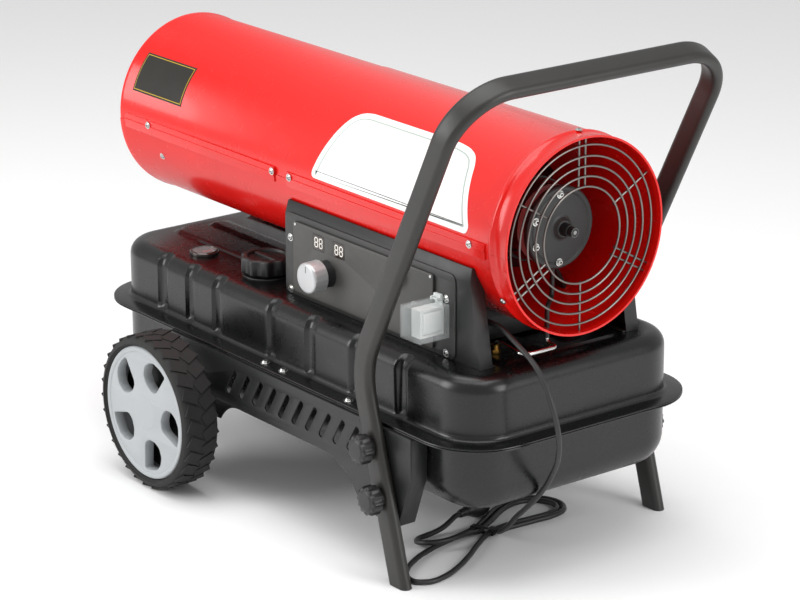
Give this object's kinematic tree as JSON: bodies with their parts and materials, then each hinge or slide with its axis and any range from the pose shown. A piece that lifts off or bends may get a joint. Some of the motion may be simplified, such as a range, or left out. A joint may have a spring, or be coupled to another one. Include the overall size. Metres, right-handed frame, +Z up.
{
  "type": "forced air heater",
  "caption": "Wheeled liquid-fuel forced air heater: red round tunnel with fan on a black tank, with a bent tube handle, control panel and coiled power cord.",
  "frame": {"origin": "on the floor, under the centre of the bounding box taken without the cord", "axes": "+X to the intake and handle end, -Y to the side with the controls, +Z up"},
  "size_m": [1.083, 0.672, 0.7885],
  "materials": {
    "black enamel": "satin",
    "red enamel": "gloss",
    "grey enamel": "satin",
    "frame enamel": "satin",
    "steel": "plain",
    "bright metal": "bright",
    "aluminium": "machined",
    "brass": "plain",
    "tyre rubber": "matte",
    "wheel plastic": "matte",
    "black plastic": "matte",
    "pale plastic": "satin",
    "clear plastic": "clear",
    "cord jacket": "satin"
  },
  "bodies": {
    "chassis": {"tank_upper": "black enamel", "tank_lower": "black enamel", "side_bracket_left": "black enamel", "side_bracket_right": "black enamel", "saddle_frame": "black enamel", "motor_body": "black enamel", "motor_bracket": "black enamel", "front_shell": "red enamel", "rear_shell": "red enamel", "lower_shell": "red enamel", "control_cover": "grey enamel", "pump_cover": "grey enamel", "tube_frame": "frame enamel", "axle": "steel", "combustion_chamber": "steel", "outlet_ring": "steel", "chamber_support": "steel", "flame_deflector": "steel", "burner_head": "steel", "fuel_pipe": "steel", "intake_guard": "bright metal", "gauge_body": "bright metal", "cover_screw_1": "bright metal", "cover_screw_2": "bright metal", "cover_screw_3": "bright metal", "cover_screw_4": "bright metal", "pump_body": "aluminium", "fuel_strainer": "brass", "fuel_nozzle": "brass", "filler_neck": "black plastic", "drain_plug": "black plastic", "dial_base": "black plastic", "ignition_transformer": "black plastic", "cord_gland": "black plastic", "power_plug": "black plastic", "cord_tie": "black plastic", "circuit_board": "pale plastic", "switch_housing": "pale plastic", "spark_electrode": "pale plastic", "gauge_lens": "clear plastic", "power_cord": "cord jacket", "cord_hank": "cord jacket", "cord_tail": "cord jacket"},
    "wheel_left_body": {"tyre_left": "tyre rubber", "wheel_left": "wheel plastic"},
    "wheel_right_body": {"tyre_right": "tyre rubber", "wheel_right": "wheel plastic"},
    "rotor": {"motor_shaft": "steel", "fan": "black enamel"},
    "filler_cap": {"fuel_cap": "black plastic"},
    "needle": {"gauge_needle": "red enamel"},
    "float": {"float_arm": "black plastic"},
    "knob_lower_left": {"clamp_knob_lower_left": "black plastic"},
    "knob_lower_right": {"clamp_knob_lower_right": "black plastic"},
    "knob_upper_left": {"clamp_knob_upper_left": "black plastic"},
    "knob_upper_right": {"clamp_knob_upper_right": "black plastic"},
    "dial": {"dial_knob": "aluminium"},
    "reset_cover": {"reset_cap": "black plastic"},
    "rocker": {"rocker_switch": "pale plastic"},
    "switch_lid": {"splash_cover": "clear plastic"}
  },
  "joints": [
    {"name": "wheel_left_spin", "type": "hinge", "parent": "chassis", "child": "wheel_left_body", "pos_m": [-0.194, -0.303, 0.127], "axis": [0, 1, 0], "continuous": true},
    {"name": "wheel_right_spin", "type": "hinge", "parent": "chassis", "child": "wheel_right_body", "pos_m": [-0.194, 0.303, 0.127], "axis": [0, 1, 0], "continuous": true},
    {"name": "fan_spin", "type": "hinge", "parent": "chassis", "child": "rotor", "pos_m": [0.25, 0, 0.522], "axis": [1, 0, 0], "continuous": true},
    {"name": "fuel_cap_turn", "type": "hinge", "parent": "chassis", "child": "filler_cap", "pos_m": [-0.137, -0.128, 0.35], "axis": [0, 0, 1], "range_deg": [0, 90]},
    {"name": "float_swing", "type": "hinge", "parent": "chassis", "child": "float", "pos_m": [-0.289, -0.146, 0.312], "axis": [0, 1, 0], "range_deg": [-38, 0]},
    {"name": "gauge_needle_turn", "type": "hinge", "parent": "chassis", "child": "needle", "pos_m": [-0.289, -0.146, 0.337], "axis": [0, 0, 1], "range_deg": [-76, 0]},
    {"name": "knob_lower_left_turn", "type": "hinge", "parent": "chassis", "child": "knob_lower_left", "pos_m": [0.33199, -0.28, 0.131], "axis": [0, 1, 0], "continuous": true},
    {"name": "knob_lower_right_turn", "type": "hinge", "parent": "chassis", "child": "knob_lower_right", "pos_m": [0.33199, 0.28, 0.131], "axis": [0, 1, 0], "continuous": true},
    {"name": "knob_upper_left_turn", "type": "hinge", "parent": "chassis", "child": "knob_upper_left", "pos_m": [0.30995, -0.28, 0.205], "axis": [0, 1, 0], "continuous": true},
    {"name": "knob_upper_right_turn", "type": "hinge", "parent": "chassis", "child": "knob_upper_right", "pos_m": [0.30995, 0.28, 0.205], "axis": [0, 1, 0], "continuous": true},
    {"name": "dial_turn", "type": "hinge", "parent": "chassis", "child": "dial", "pos_m": [0.071, -0.19, 0.393], "axis": [0, 1, 0], "range_deg": [0, 270]},
    {"name": "reset_cap_turn", "type": "hinge", "parent": "chassis", "child": "reset_cover", "pos_m": [0.25, -0.167, 0.434], "axis": [0, 1, 0], "range_deg": [0, 270]},
    {"name": "rocker_tilt", "type": "hinge", "parent": "chassis", "child": "rocker", "pos_m": [0.3495, -0.18, 0.392], "axis": [0, 1, 0], "range_deg": [-7, 7]},
    {"name": "switch_lid_flip", "type": "hinge", "parent": "chassis", "child": "switch_lid", "pos_m": [0.342, -0.1655, 0.424], "axis": [1, 0, 0], "range_deg": [-90, 0]}
  ]
}
